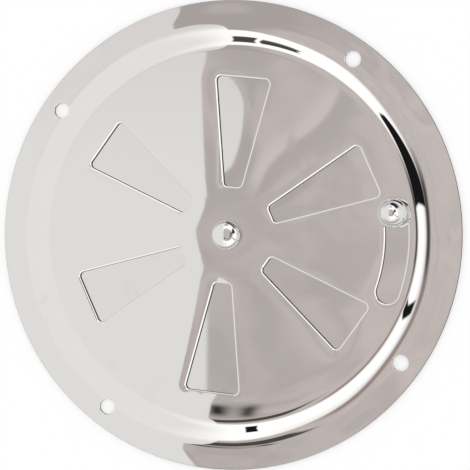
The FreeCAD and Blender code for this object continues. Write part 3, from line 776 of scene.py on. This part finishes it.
# %% Make the knob
knob_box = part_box("shutter_knob")
KNOB_TOP = knob_box[1].z / MM
KNOB_BOTTOM = knob_box[0].z / MM
KNOB_BALL = 3.85
BALL_ROWS = 56
COLLAR_PLAY = 0.3
KNOB_COLLAR = SLOT_WIDTH / 2 - COLLAR_PLAY
KNOB_TAIL = 2.5
knob_middle = KNOB_TOP - KNOB_BALL
knob_place = polar(SLOT_MIDDLE, SLOT_ANGLE + TRAVEL / 2)
neck_lean = -math.degrees(math.acos(KNOB_COLLAR / KNOB_BALL))
knob_section = np.concatenate([
    arc_points((0, knob_middle), KNOB_BALL, 90, neck_lean, BALL_ROWS),
    [[KNOB_COLLAR, DISC_FACE + CORNER_BREAK], [KNOB_COLLAR - CORNER_BREAK, DISC_FACE]],
    tail_section(SPIGOT_HOLE, DISC_FACE, DISC_BACK, KNOB_TAIL, KNOB_BOTTOM)])
knob_piece = piece_from_grids("ball_knob", [revolve(knob_section, knob_place)])

# %% [markdown]
# ## The bowed washer
# A thin washer, bowed like a saddle leaf, presses the disc lightly against the plate. It only shows from
# behind. Its ring section is carried round the rivet, and each point then rises with the square of its
# distance from the bow's middle line.

# %% Make the bowed washer
washer_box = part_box("bowed_washer")
WASHER_RADIUS = 4.5
WASHER_SHEET = 0.2
WASHER_BREAK = 0.05
WASHER_ROWS = 8
washer_low = washer_box[0].z / MM
washer_high = washer_low + WASHER_SHEET
washer_bow = washer_box[1].z / MM - washer_low - WASHER_SHEET
radii = np.linspace(PIVOT_HOLE + WASHER_BREAK, WASHER_RADIUS - WASHER_BREAK, WASHER_ROWS)
washer_section = np.concatenate([
    np.stack([radii, np.full(WASHER_ROWS, washer_low)], axis=-1),
    [[WASHER_RADIUS, washer_low + WASHER_BREAK], [WASHER_RADIUS, washer_high - WASHER_BREAK]],
    np.stack([radii[::-1], np.full(WASHER_ROWS, washer_high)], axis=-1),
    [[PIVOT_HOLE, washer_high - WASHER_BREAK], [PIVOT_HOLE, washer_low + WASHER_BREAK],
     [radii[0], washer_low]]])
washer_grid = revolve(washer_section, (0.0, 0.0))
washer_grid[..., 2] += washer_bow * (washer_grid[..., 0] / WASHER_RADIUS) ** 2
washer_piece = piece_from_grids("saddle_washer", [washer_grid])

# %% [markdown]
# ## Polished steel
# Bright stainless is a mirror with a grey tint, so the shader is metallic with a very low roughness. What
# makes it read as metal is what the polish leaves: faint lines from the mop, a few smudges that are a
# touch duller, and waviness too small to model. They are one shader group, placed in each material with
# its own scale and strength.

# %% The polish marks group
def connect(tree, value, socket):
    """Link a socket to an input, or set the input to a plain value or colour."""
    if isinstance(value, bpy.types.NodeSocket):
        tree.links.new(value, socket)
    elif socket.type == "RGBA":
        socket.default_value = (*value, 1.0)
    else:
        socket.default_value = value


def feed(tree, node, **inputs):
    """Link or set some inputs of a node. A space in an input's name is written as a low line."""
    for name, value in inputs.items():
        connect(tree, value, node.inputs[name.replace("_", " ")])
    return node


def new_node(tree, kind, **inputs):
    """A new node with some of its inputs linked or set."""
    return feed(tree, tree.nodes.new(kind), **inputs)


def polish_group():
    """Shared marks of a polished surface: smudges, mop lines and a fine orange-peel height."""
    group = bpy.data.node_groups.new("polish_marks", "ShaderNodeTree")
    for name, value in (("Line Scale", 900.0), ("Smudge Scale", 60.0), ("Smudge Edge", 0.56)):
        socket = group.interface.new_socket(name=name, in_out="INPUT", socket_type="NodeSocketFloat")
        socket.default_value = value
    for name in ("Smudge", "Lines", "Height"):
        group.interface.new_socket(name=name, in_out="OUTPUT", socket_type="NodeSocketFloat")
    given = group.nodes.new("NodeGroupInput").outputs
    result = group.nodes.new("NodeGroupOutput")
    place = group.nodes.new("ShaderNodeTexCoord").outputs["Object"]
    smudge = new_node(group, "ShaderNodeTexNoise", Vector=place, Scale=given["Smudge Scale"],
                      Detail=5.0, Roughness=0.62, Distortion=0.6)
    patch = new_node(group, "ShaderNodeMapRange", Value=smudge.outputs["Fac"],
                     From_Min=given["Smudge Edge"], From_Max=0.78)
    patch.interpolation_type = "SMOOTHSTEP"
    stretch = new_node(group, "ShaderNodeMapping", Vector=place, Scale=(1.0, 0.03, 1.0),
                       Rotation=(0.0, 0.0, math.radians(90 - PHOTO_TURN)))
    lines = new_node(group, "ShaderNodeTexNoise", Vector=stretch.outputs["Vector"],
                     Scale=given["Line Scale"], Detail=4.0, Roughness=0.7)
    peel = new_node(group, "ShaderNodeTexNoise", Vector=place, Scale=260.0, Detail=2.0, Roughness=0.4)
    feed(group, result, Smudge=patch.outputs["Result"], Lines=lines.outputs["Fac"],
         Height=peel.outputs["Fac"])
    return group


polish = polish_group()
print("group", polish.name, [item.name for item in polish.interface.items_tree])

# %% Colours and arithmetic between sockets
MIX_COLOURS = (6, 7)
MIX_RESULT = 2


def blend(tree, factor, first, second):
    """A colour between two colours or sockets by a mask."""
    mix = tree.nodes.new("ShaderNodeMix")
    mix.data_type = "RGBA"
    for number, value in zip(MIX_COLOURS, (first, second)):
        connect(tree, value, mix.inputs[number])
    connect(tree, factor, mix.inputs["Factor"])
    return mix.outputs[MIX_RESULT]


def scaled(tree, value, low, high):
    """A mask from 0 to 1 stretched between two values."""
    return new_node(tree, "ShaderNodeMapRange", Value=value, To_Min=low, To_Max=high).outputs["Result"]


def reckon(tree, operation, first, second=0.0, clamp=False):
    """One step of arithmetic on two values or sockets."""
    node = tree.nodes.new("ShaderNodeMath")
    node.operation = operation
    node.use_clamp = clamp
    for socket, value in zip(node.inputs, (first, second)):
        connect(tree, value, socket)
    return node.outputs[0]


# %% [markdown]
# ## Four steels
# The plate and the disc are mirror sheet, the rivet and the knob are turned and a little duller, and the
# washer is plain spring steel. They differ only in tint, roughness and scale of the marks, so one function
# makes them all. A sheared edge isn't polished: there the metal is matt, and its colour is painted
# near-black with no shine, as painted shade for the gap behind the edge and under the rim.

# %% Materials
# Painted shade: sheared walls are coloured near-black and lose their shine, standing in for the shade in the
# gaps behind the edges and under the rim.
SHEARED_EDGE_SHADE = (0.05, 0.048, 0.046)
SHEARED_ROUGH = 0.5
LINE_ROUGH = (0.5, 1.5)
STEELS = {
    "face_steel": dict(bright=(0.72, 0.714, 0.703), dull=(0.66, 0.652, 0.64), smooth=0.016, rough=0.06,
                       wave=4e-8, line_scale=900.0, smudge_scale=55.0, smudge_edge=0.6),
    "disc_steel": dict(bright=(0.70, 0.694, 0.683), dull=(0.64, 0.632, 0.62), smooth=0.018, rough=0.06,
                       wave=4e-8, line_scale=900.0, smudge_scale=70.0, smudge_edge=0.58),
    "ball_steel": dict(bright=(0.72, 0.714, 0.703), dull=(0.66, 0.652, 0.64), smooth=0.1, rough=0.16,
                       wave=4e-8, line_scale=2400.0, smudge_scale=300.0, smudge_edge=0.6),
    "washer_steel": dict(bright=(0.56, 0.55, 0.53), dull=(0.48, 0.47, 0.45), smooth=0.22, rough=0.34,
                         wave=2e-7, line_scale=1800.0, smudge_scale=400.0, smudge_edge=0.5),
}


def steel(name, bright, dull, smooth, rough, wave, line_scale, smudge_scale, smudge_edge):
    """Metal whose colour, roughness and normal carry the polish marks, and whose sheared edges are matt and
    painted near-black as shade.
    """
    material = bpy.data.materials.new(name)
    material.use_nodes = True
    tree = material.node_tree
    marks = tree.nodes.new("ShaderNodeGroup")
    marks.node_tree = polish
    feed(tree, marks, Line_Scale=line_scale, Smudge_Scale=smudge_scale, Smudge_Edge=smudge_edge)
    edge = tree.nodes.new("ShaderNodeAttribute")
    edge.attribute_name = "sheared"
    sheared = edge.outputs["Fac"]
    smudge = marks.outputs["Smudge"]
    # The sheared mark paints the edge near-black as shade, over the smudged steel colour.
    tint_and_edge_shade = blend(tree, sheared, blend(tree, smudge, bright, dull), SHEARED_EDGE_SHADE)
    lines = scaled(tree, marks.outputs["Lines"], LINE_ROUGH[0] * smooth, LINE_ROUGH[1] * smooth)
    sheen = reckon(tree, "MAXIMUM", scaled(tree, smudge, smooth, rough), lines)
    worn = reckon(tree, "MAXIMUM", sheen, scaled(tree, sheared, 0.0, SHEARED_ROUGH))
    bump = new_node(tree, "ShaderNodeBump", Height=marks.outputs["Height"], Strength=1.0, Distance=wave)
    feed(tree, tree.nodes["Principled BSDF"], Base_Color=tint_and_edge_shade, Metallic=scaled(tree, sheared, 1.0, 0.0),
         Roughness=worn, Specular_IOR_Level=0.0, Normal=bump.outputs["Normal"])
    return material


steels = {name: steel(name, **finish) for name, finish in STEELS.items()}
print("steels", sorted(steels))

# %% Dress the pieces and hang them on their bodies
PIECES = [
    (cover_face, "face_steel", "cover", "face_plate", "polished_sheet"),
    (disc_sheet, "disc_steel", "shutter", "shutter_disc", "shutter_sheet"),
    (rivet_piece, "ball_steel", "cover", "centre_rivet", "turned_steel"),
    (knob_piece, "ball_steel", "shutter", "shutter_knob", "turned_steel"),
    (washer_piece, "washer_steel", "cover", "bowed_washer", "plain_steel"),
]
for piece, finish, body, node, slot_name in PIECES:
    piece.data.materials.append(steels[finish])
    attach(piece, body)
    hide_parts(node)
print("pieces", [piece.name for piece, *_ in PIECES])

# %% [markdown]
# ## The studio
# A mirror is photographed inside a white tent, and what shows in it is the tent. Here the tent is the
# world, and only mirrors see it: the camera and matt things see plain white. Directions are measured in
# degrees as the camera sees them: away from straight above the face, across, upward, and the bearing
# round the face. Masks on these four draw the walls, the opening and the stands.

# %% Directions in the tent
TINY = 1e-6
world = bpy.data.worlds.new("tent")
bpy.context.scene.world = world
world.use_nodes = True
sky = world.node_tree
sky.nodes.clear()


def plus(first, second):
    """Sum of two of the tent's values."""
    return reckon(sky, "ADD", first, second)


def times(first, second):
    """Product of two of the tent's values."""
    return reckon(sky, "MULTIPLY", first, second)


def length(x, y):
    """Length of a flat direction: the root of the sum of the squares."""
    return reckon(sky, "SQRT", plus(reckon(sky, "POWER", x, 2.0), reckon(sky, "POWER", y, 2.0)))


def bearing_of(x, y):
    """Bearing of a flat direction, in degrees."""
    return reckon(sky, "DEGREES", reckon(sky, "ARCTAN2", y, x))


direction = sky.nodes.new("ShaderNodeTexCoord").outputs["Generated"]
photo_turn = (0.0, 0.0, math.radians(PHOTO_TURN))
square = new_node(sky, "ShaderNodeMapping", Vector=direction, Rotation=photo_turn)
east, north, overhead = new_node(sky, "ShaderNodeSeparateXYZ", Vector=square.outputs["Vector"]).outputs
away = reckon(sky, "DEGREES", reckon(sky, "ARCCOSINE", overhead))
stretch = reckon(sky, "DIVIDE", away, reckon(sky, "MAXIMUM", length(east, north), TINY))
across = times(east, stretch)
upward = times(north, stretch)
bearing = bearing_of(east, north)
print("direction nodes", len(sky.nodes))

# %% Masks
def ramp(value, start, stop):
    """A smooth rise from 0 at the start to 1 at the stop."""
    node = new_node(sky, "ShaderNodeMapRange", Value=value, From_Min=start, From_Max=stop)
    node.interpolation_type = "SMOOTHSTEP"
    return node.outputs["Result"]


def between(value, low, high, soft):
    """A band with soft borders."""
    return times(ramp(value, low - soft, low + soft), ramp(value, high + soft, high - soft))


def overlap(*masks):
    """Where all masks overlap: their product."""
    shared = masks[0]
    for mask in masks[1:]:
        shared = times(shared, mask)
    return shared


def layered(colour, layers):
    """Colours laid over a first one in order, each through its own mask."""
    for mask, over in layers:
        colour = blend(sky, mask, colour, over)
    return colour


# %% [markdown]
# ## The tent's walls
# The wall on the left is plain white and shades off upward. Farther from straight above, the white is a
# little brighter, and the lit side is the brightest. Near the floor two sides fall off to grey, which
# gives the cover its form when it is seen from low down.

# %% Walls
WHITE_LEFT = (1.0, 0.995, 0.985)
SHADE_LEFT = (0.93, 0.895, 0.885)
SHADE_RISE = (1.0, 5.0)
WHITE_FAR = (1.04, 1.035, 1.025)
FAR_RISE = (19.0, 26.0)
WHITE_RIGHT = (1.5, 1.49, 1.47)
RIGHT_RISE = (-24.0, -10.0)
RIGHT_BAND = (28.0, 56.0, 5.0)
LOW_WALL = (1.05, 1.04, 1.025)
LOW_RISE = (54.0, 66.0)
LOW_SHADE = (0.5, 0.49, 0.48)
LOW_SHADE_RISE = (60.0, 84.0)
LOW_SHADE_SIDES = (0.3, 0.95)

aside = reckon(sky, "ABSOLUTE", reckon(sky, "SINE", reckon(sky, "RADIANS", bearing)))
walls = layered(WHITE_LEFT, [
    (ramp(upward, *SHADE_RISE), SHADE_LEFT),
    (ramp(away, *FAR_RISE), WHITE_FAR),
    (overlap(ramp(across, *RIGHT_RISE), between(away, *RIGHT_BAND)), WHITE_RIGHT),
    (ramp(away, *LOW_RISE), LOW_WALL),
    (overlap(ramp(away, *LOW_SHADE_RISE), ramp(aside, *LOW_SHADE_SIDES)), LOW_SHADE),
])
print("wall nodes so far", len(sky.nodes))

# %% [markdown]
# ## The tent's open front
# The camera looks in through an opening. In the steel it is a warm grey round shape with one straight
# edge, which leans a little at the bottom and has a small notch. Inside it the grey is cloudy, darker
# along the top of the edge, and one soft streak of light crosses it.

# %% The shape of the opening
OPENING_MIDDLE = (-5.0, 1.0)
OPENING_REACH = 27.0
OPENING_RIM = 1.2
OPENING_EDGE = -13.96
OPENING_SOFT = 0.03
EDGE_LEAN = -0.05
EDGE_LEAN_START = 4.1
EDGE_NOTCH = (4.6, 6.2, 0.15)
EDGE_NOTCH_DEPTH = 0.5

from_middle = [plus(value, -middle) for value, middle in zip((across, upward), OPENING_MIDDLE)]
reach = length(*from_middle)
round_middle = bearing_of(*from_middle)
lean = times(reckon(sky, "MINIMUM", plus(upward, EDGE_LEAN_START), 0.0), EDGE_LEAN)
notch = times(between(upward, *EDGE_NOTCH), EDGE_NOTCH_DEPTH)
from_edge = plus(plus(across, lean), notch)
opening = overlap(ramp(reach, OPENING_REACH + OPENING_RIM, OPENING_REACH - OPENING_RIM),
                  ramp(from_edge, OPENING_EDGE - OPENING_SOFT, OPENING_EDGE + OPENING_SOFT))
print("the opening reaches %.0f degrees from its middle" % OPENING_REACH)

# %% The warm greys in the opening
WARM_GREY = (0.59, 0.535, 0.521)
WARM_LIGHT = (0.765, 0.693, 0.674)
CLOUD_RISE = (0.36, 0.66)
CLOUD_SHARE = 0.6
LIGHT_RISE = (-13.5, -7.5)
LIGHT_SHARE = 0.45
TOP_SHADE = (0.54, 0.486, 0.47)
TOP_RISE = (4.3, 5.0)
TOP_SIDE = (-9.5, -12.5)
STREAK = (0.795, 0.724, 0.706)
STREAK_START = (-13.0, 0.8)
STREAK_WAY = (0.61, 0.79)
STREAK_LENGTH = (0.1, 3.3, 0.5)
STREAK_WAVE = 1.85
STREAK_SWING = 0.17
STREAK_LIGHT = ((-0.5, 0.05), (0.22, 0.08))
STREAK_DARK = ((0.1, 0.24), (0.9, 0.3))

cloud_place = new_node(sky, "ShaderNodeCombineXYZ", X=across, Y=upward)
cloud = new_node(sky, "ShaderNodeTexNoise", Vector=cloud_place.outputs["Vector"], Scale=0.5, Detail=3.0,
                 Roughness=0.5, Distortion=0.8)
clouds = times(ramp(cloud.outputs["Fac"], *CLOUD_RISE), CLOUD_SHARE)
light_side = reckon(sky, "ADD", clouds, times(ramp(across, *LIGHT_RISE), LIGHT_SHARE), clamp=True)

streak_x, streak_y = [plus(value, -start) for value, start in zip((across, upward), STREAK_START)]
along = plus(times(streak_x, STREAK_WAY[0]), times(streak_y, STREAK_WAY[1]))
beside = plus(times(streak_x, STREAK_WAY[1]), times(streak_y, -STREAK_WAY[0]))
swing = plus(beside, times(reckon(sky, "SINE", times(along, STREAK_WAVE)), STREAK_SWING))
streak_length = between(along, *STREAK_LENGTH)
warm = layered(WARM_GREY, [
    (light_side, WARM_LIGHT),
    (overlap(ramp(upward, *TOP_RISE), ramp(across, *TOP_SIDE)), TOP_SHADE),
    (overlap(*[ramp(swing, *side) for side in STREAK_LIGHT], streak_length), STREAK),
    (overlap(*[ramp(swing, *side) for side in STREAK_DARK], streak_length), WARM_GREY),
])
tent = layered(walls, [(opening, warm)])
print("tent nodes with the opening", len(sky.nodes))

# %% [markdown]
# ## Stands and seams
# Dark things give the steel its black accents: the opening's brown hem and dark arc, a fold and a seam in
# its cloth, and the flag, boom, arm, post and strips of a studio. Each is a set of limits on measures of
# the direction. Two numbers are a smooth rise, and three are a band and the softness of its borders.

# %% Stands
HEM = (0.42, 0.325, 0.305)
DARK = (0.012, 0.011, 0.011)
SMOKE = (0.09, 0.083, 0.08)
SOOT = (0.035, 0.033, 0.032)
STANDS = {
    "hem": (HEM, {"reach": (19.5, 26.5, 2.5), "round_middle": (-82.0, -22.0, 7.0)}),
    "arc": (SMOKE, {"reach": (19.5, 28.0, 3.5), "round_middle": (-22.0, 26.0, 12.0)}),
    "fold": (SOOT, {"across": (-11.6, -12.8), "fold_height": (-8.9, -6.0, 1.0)}),
    "seam": (SMOKE, {"across": (-6.5, -8.5), "upward": (-19.5, -11.0, 1.1)}),
    "flag": (DARK, {"across": (21.0, 22.4), "bearing": (12.3, 51.0, 1.0), "away": (43.0, 39.0)}),
    "boom": (SOOT, {"boom_height": (50.0, 78.0, 3.0), "bearing": (40.0, 98.0, 4.0)}),
    "arm": (DARK, {"bearing": (-35.2, -28.8, 1.0), "away": (26.0, 60.0, 2.0)}),
    "post": (DARK, {"post_place": (-1.32, 1.32, 0.25), "upward": (-48.0, -33.8, 0.8)}),
    "strip one": (SMOKE, {"across": (-13.8, -8.2, 0.4), "upward": (40.5, 51.0, 1.2)}),
    "strip two": (SMOKE, {"across": (-7.0, 3.0, 0.4), "upward": (42.0, 50.5, 2.0)}),
}
BOOM_START = 45.0
BOOM_CLIMB = -0.27
FOLD_PLACE = -13.85
FOLD_SLOPE = 0.5
FOLD_WAVE = 4.8
FOLD_DEPTH = 0.35
POST_PLACE = -9.38
POST_MIDDLE = -45.8
POST_LEAN = 0.055
POST_TAPER = 0.0144

boom_climb = times(plus(bearing, -BOOM_START), BOOM_CLIMB)
fold_side = plus(across, -FOLD_PLACE)
fold_wave = times(reckon(sky, "COSINE", times(fold_side, FOLD_WAVE)), FOLD_DEPTH)
post_height = plus(upward, -POST_MIDDLE)
post_side = plus(plus(across, -POST_PLACE), times(post_height, POST_LEAN))
measures = {
    "away": away, "across": across, "upward": upward, "bearing": bearing,
    "reach": reach, "round_middle": round_middle,
    "boom_height": plus(away, boom_climb),
    "fold_height": plus(upward, times(fold_side, FOLD_SLOPE)),
    "post_place": times(post_side, plus(times(post_height, POST_TAPER), 1.0)),
}
within_cloth = {"fold": [opening, plus(fold_wave, 1.0 - FOLD_DEPTH)], "seam": [opening]}


def stand_mask(name, limits):
    """Where a stand is: inside all limits on its measures, and inside the opening if it is in the cloth."""
    masks = list(within_cloth.get(name, []))
    for measure, numbers in limits.items():
        edge = ramp if len(numbers) == 2 else between
        masks.append(edge(measures[measure], *numbers))
    return overlap(*masks)


tent = layered(tent, [(stand_mask(name, limits), colour) for name, (colour, limits) in STANDS.items()])
print("stands", list(STANDS))

# %% Light the world with the tent
PLAIN_WHITE = (1.0, 1.0, 1.0)
path = sky.nodes.new("ShaderNodeLightPath")
mirrored = blend(sky, path.outputs["Is Glossy Ray"], PLAIN_WHITE, tent)
glow = new_node(sky, "ShaderNodeBackground", Color=mirrored)
new_node(sky, "ShaderNodeOutputWorld", Surface=glow.outputs["Background"])
print("tent nodes", len(sky.nodes))

# %% [markdown]
# ## Floor
# The cover lies on its back on a plain white floor, which keeps its soft shadow. Part of the floor's
# white is its own. Only the camera and mirrors see that part, so the floor stays white with no more light
# on the cover. The floor is a hair below the flange, so that the two don't flicker through each other.

# %% Make the floor
FLOOR_HALF = 3.0
FLOOR_LEVEL = -2e-5
FLOOR_GLOW = 0.55
FLOOR_ROUGH = 0.9
floor_sides = ((-1, -1), (1, -1), (1, 1), (-1, 1))
floor_corners = [(x * FLOOR_HALF, y * FLOOR_HALF, FLOOR_LEVEL) for x, y in floor_sides]
floor_mesh = bpy.data.meshes.new("floor")
floor_mesh.from_pydata(floor_corners, [], [(0, 1, 2, 3)])
floor = bpy.data.objects.new("floor", floor_mesh)
bpy.context.scene.collection.objects.link(floor)
floor_paint = bpy.data.materials.new("floor_paint")
floor_paint.use_nodes = True
floor_tree = floor_paint.node_tree
floor_shader = floor_tree.nodes["Principled BSDF"]
feed(floor_tree, floor_shader, Base_Color=PLAIN_WHITE, Roughness=FLOOR_ROUGH, Specular_IOR_Level=0.0)
floor_path = floor_tree.nodes.new("ShaderNodeLightPath")
seen = floor_path.outputs["Is Camera Ray"]
for kind in ("Is Glossy Ray", "Is Transmission Ray"):
    seen = reckon(floor_tree, "MAXIMUM", seen, floor_path.outputs[kind])
floor_white = floor_tree.nodes.new("ShaderNodeEmission")
floor_mix = floor_tree.nodes.new("ShaderNodeMixShader")
floor_parts = (reckon(floor_tree, "MULTIPLY", seen, FLOOR_GLOW), floor_shader.outputs["BSDF"],
               floor_white.outputs["Emission"])
for part, socket in zip(floor_parts, floor_mix.inputs):
    connect(floor_tree, part, socket)
feed(floor_tree, floor_tree.nodes["Material Output"], Surface=floor_mix.outputs["Shader"])
floor_mesh.materials.append(floor_paint)
print("floor", floor.name, "at", FLOOR_LEVEL)

# %% [markdown]
# ## Camera
# The camera looks down at the face, a little from one side. Its place, lens and shift come from fitting
# the rim, the screw holes and the windows of a picture of the cover that is 470 pixels square. A shift
# moves the picture in the frame without turning the camera, so the circle keeps its true shape.

# %% Camera
FRAME_PIXELS = 470
PIXELS_PER_MM = 3.7587
CENTRE_PIXEL = (228.63, 234.94)
DISTANCE = 654.9
SIDE_ANGLE = 13.47
RAISE_ANGLE = 0.165
SENSOR = 36.0
NEAREST = 0.01

side = math.radians(SIDE_ANGLE)
raised = math.radians(RAISE_ANGLE)
spin = Matrix.Rotation(-math.radians(PHOTO_TURN), 3, "Z")
back = Vector((math.sin(side) * math.cos(raised), math.sin(raised), math.cos(side) * math.cos(raised)))
back = spin @ back
right = spin @ Vector((math.cos(side), 0.0, -math.sin(side)))
up = back.cross(right)
target = Vector((0.0, 0.0, SHEET * MM))
lens = bpy.data.cameras.new("camera")
lens.sensor_width = SENSOR
lens.lens = PIXELS_PER_MM * DISTANCE * SENSOR / FRAME_PIXELS
lens.shift_x = (FRAME_PIXELS / 2 - CENTRE_PIXEL[0]) / FRAME_PIXELS
lens.shift_y = (CENTRE_PIXEL[1] - FRAME_PIXELS / 2) / FRAME_PIXELS
lens.clip_start = NEAREST
camera = bpy.data.objects.new("camera", lens)
pose = Matrix((right, up, back)).transposed().to_4x4()
pose.translation = target + back * DISTANCE * MM
camera.matrix_world = pose
bpy.context.scene.collection.objects.link(camera)
bpy.context.scene.camera = camera
bpy.context.scene.view_settings.view_transform = "Standard"
print("lens %.1f mm, shift %.4f" % (lens.lens, lens.shift_x))
